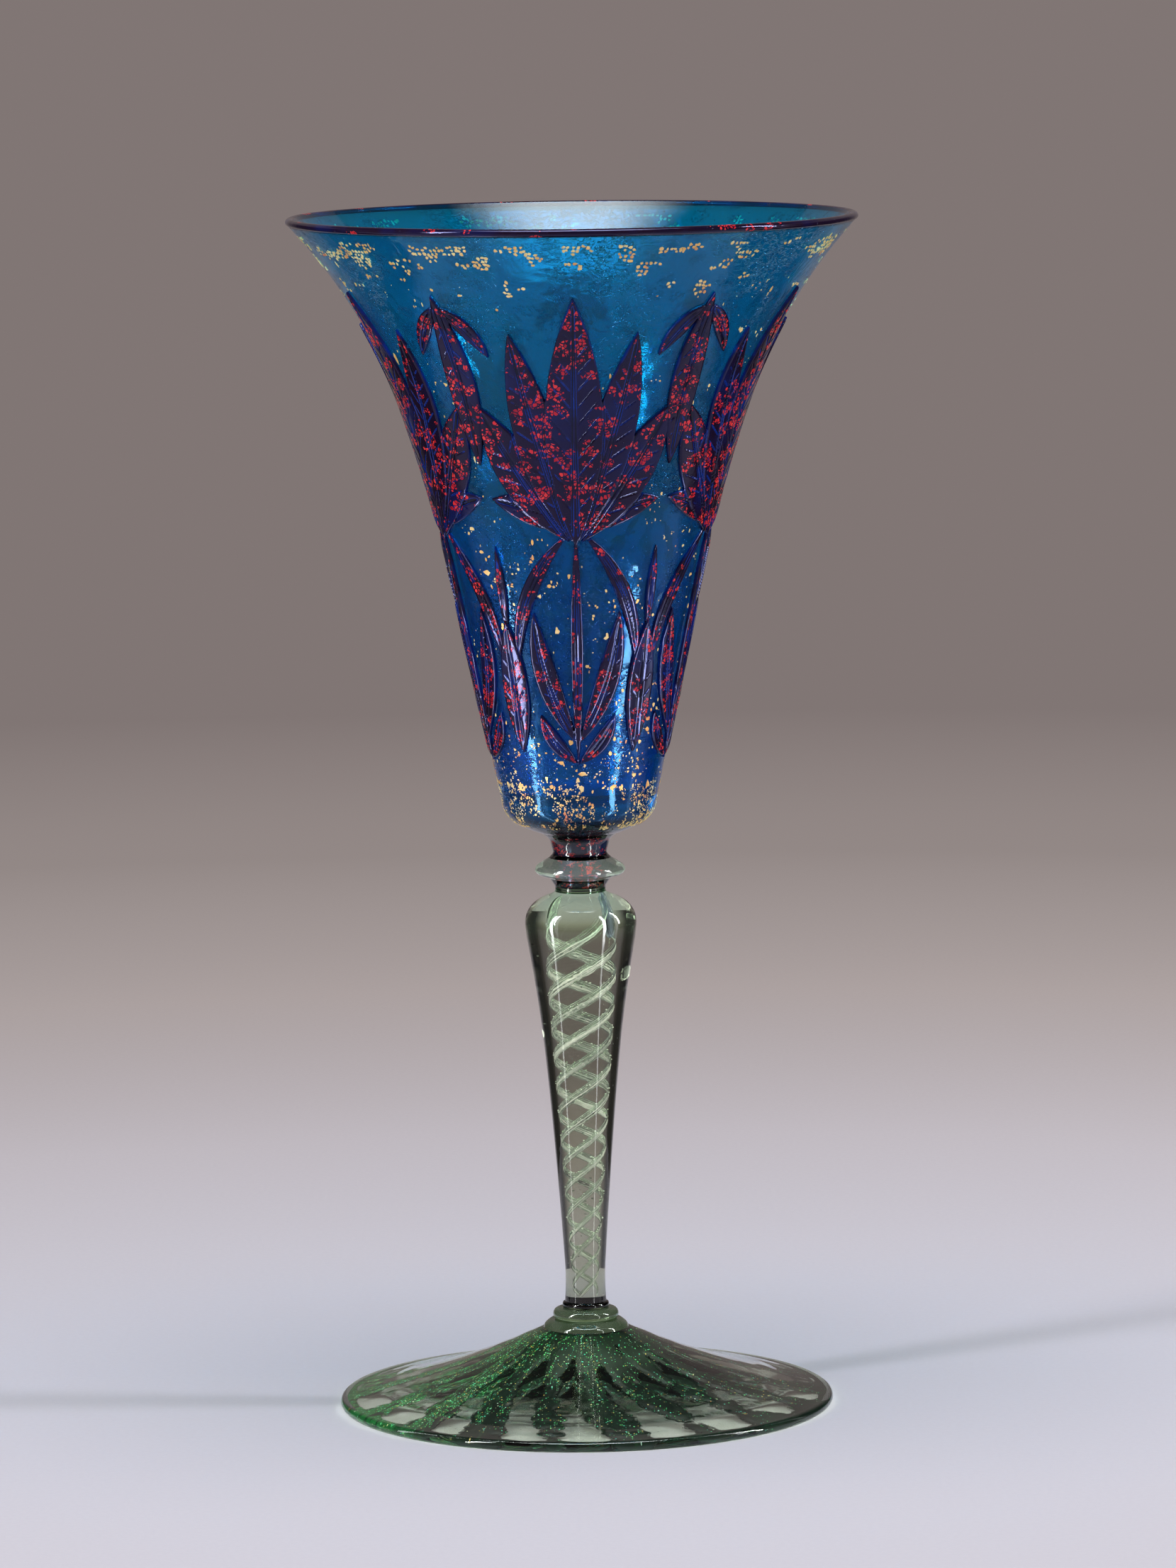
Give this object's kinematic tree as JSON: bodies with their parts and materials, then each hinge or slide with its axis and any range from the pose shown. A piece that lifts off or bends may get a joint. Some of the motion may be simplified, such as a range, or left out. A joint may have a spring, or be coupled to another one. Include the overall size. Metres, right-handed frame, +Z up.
{
  "type": "etched wine glass",
  "caption": "Tall flared wine glass: a teal bowl cased in dark glass etched to a cameo leaf frieze, a merese, an air twist stem and a ribbed glitter foot.",
  "frame": {"origin": "centre of the ring that the foot rests on, on the glass's axis", "axes": "+Z up along the axis of the glass, -Y towards the front of the frieze"},
  "size_m": [0.1138, 0.1138, 0.24],
  "materials": {
    "teal_glass": "clear coloured glass with an acid-matt skin and gold leaf under it",
    "ruby_cobalt_glass": "dark cased glass, polished, with copper-red leaf showing through",
    "pale_green_glass": "clear pale green glass, fire polished",
    "stem_glass": "clear grey-green glass, fire polished, with air threads inside",
    "aventurine_glass": "dark green glass full of fine metal glitter"
  },
  "bodies": {
    "root": {"bowl_cup": "teal_glass", "cameo_overlay": "ruby_cobalt_glass", "lip_wrap": "ruby_cobalt_glass", "bowl_post": "ruby_cobalt_glass", "merese": "pale_green_glass", "neck_button": "pale_green_glass", "stem_casing": "stem_glass", "stem_core": "stem_glass", "stem_ring": "pale_green_glass", "foot_knop": "aventurine_glass", "foot_collar": "pale_green_glass", "foot_casing": "pale_green_glass", "foot_aventurine": "aventurine_glass"}
  },
  "joints": []
}
